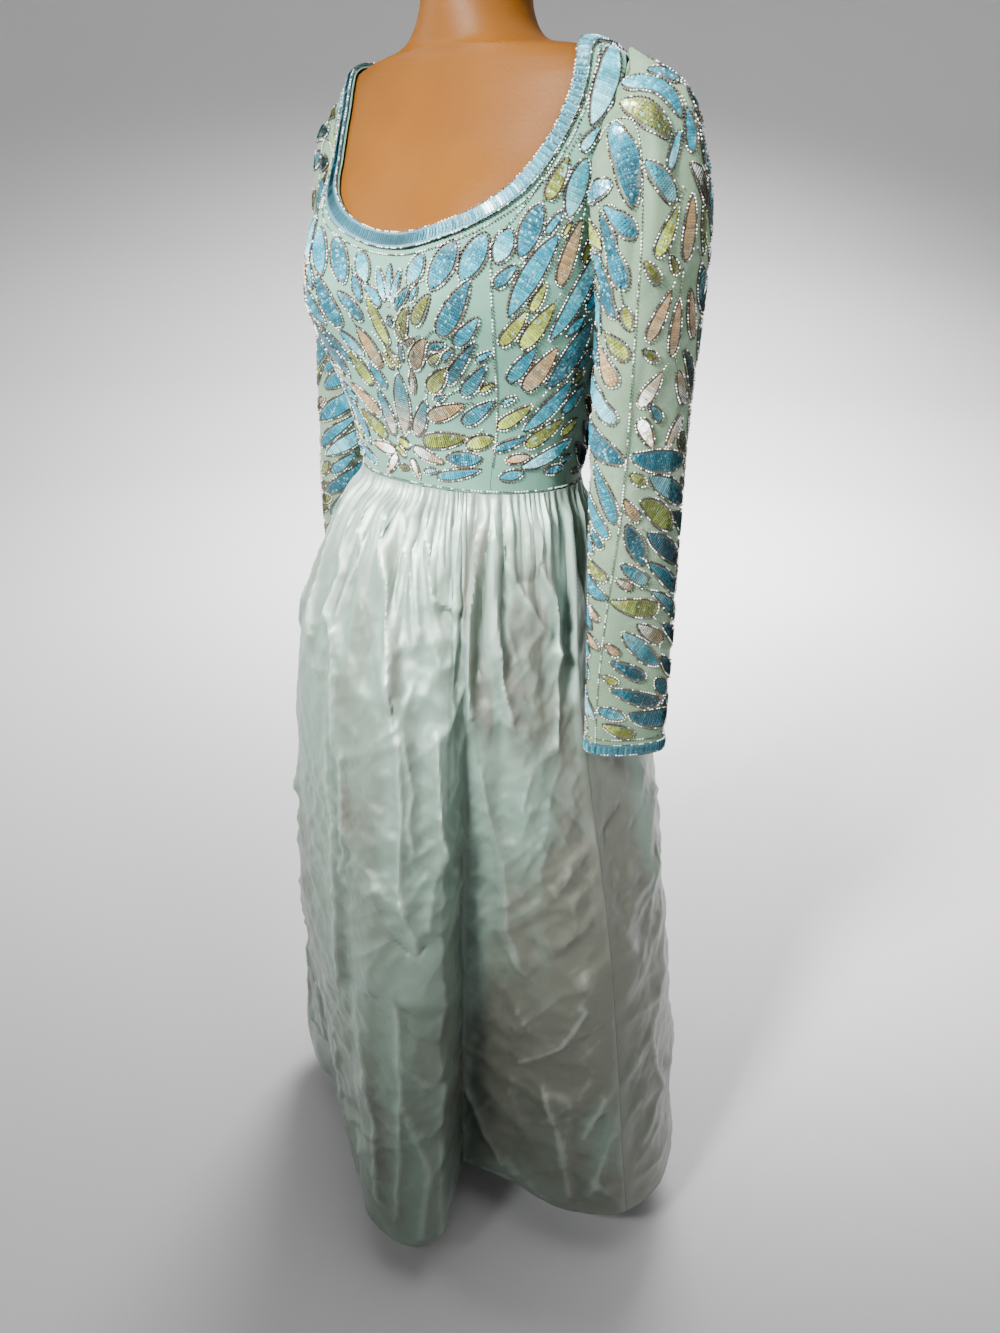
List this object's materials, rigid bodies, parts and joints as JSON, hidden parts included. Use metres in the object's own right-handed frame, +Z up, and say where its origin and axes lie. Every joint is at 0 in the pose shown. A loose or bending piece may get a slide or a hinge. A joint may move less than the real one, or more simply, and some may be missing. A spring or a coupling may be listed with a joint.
{
  "type": "evening gown on a dress form",
  "caption": "Floor-length evening gown with a scooped neck, a sequinned long-sleeved bodice and a gathered taffeta skirt, worn on a limbless dress form with a four-legged stand.",
  "frame": {"origin": "centre of the stand's hub, on the floor", "axes": "+Z up; the gown's front faces -Y and its wearer's left is +X"},
  "size_m": [0.6221, 0.5377, 1.53],
  "materials": {
    "mint_chiffon": "sheer matt chiffon",
    "silver_mint_taffeta": "crisp shot taffeta with a soft sheen",
    "aqua_beading": "sequins and glass beads",
    "form_tan": "smooth satin skin",
    "stand_metal": "satin dark grey"
  },
  "bodies": {
    "root": {"bodice_back_left": "mint_chiffon", "bodice_back_right": "mint_chiffon", "bodice_centre_front": "mint_chiffon", "bodice_side_front_left": "mint_chiffon", "bodice_side_front_right": "mint_chiffon", "cuff_band_left": "aqua_beading", "cuff_band_right": "aqua_beading", "form_collar": "stand_metal", "form_hub": "stand_metal", "form_leg_1": "stand_metal", "form_leg_2": "stand_metal", "form_leg_3": "stand_metal", "form_leg_4": "stand_metal", "form_pole": "stand_metal", "form_torso": "form_tan", "neck_band_left": "aqua_beading", "neck_band_right": "aqua_beading", "skirt_back_left": "silver_mint_taffeta", "skirt_back_right": "silver_mint_taffeta", "skirt_front": "silver_mint_taffeta", "sleeve_left": "mint_chiffon", "sleeve_right": "mint_chiffon"}
  },
  "joints": []
}
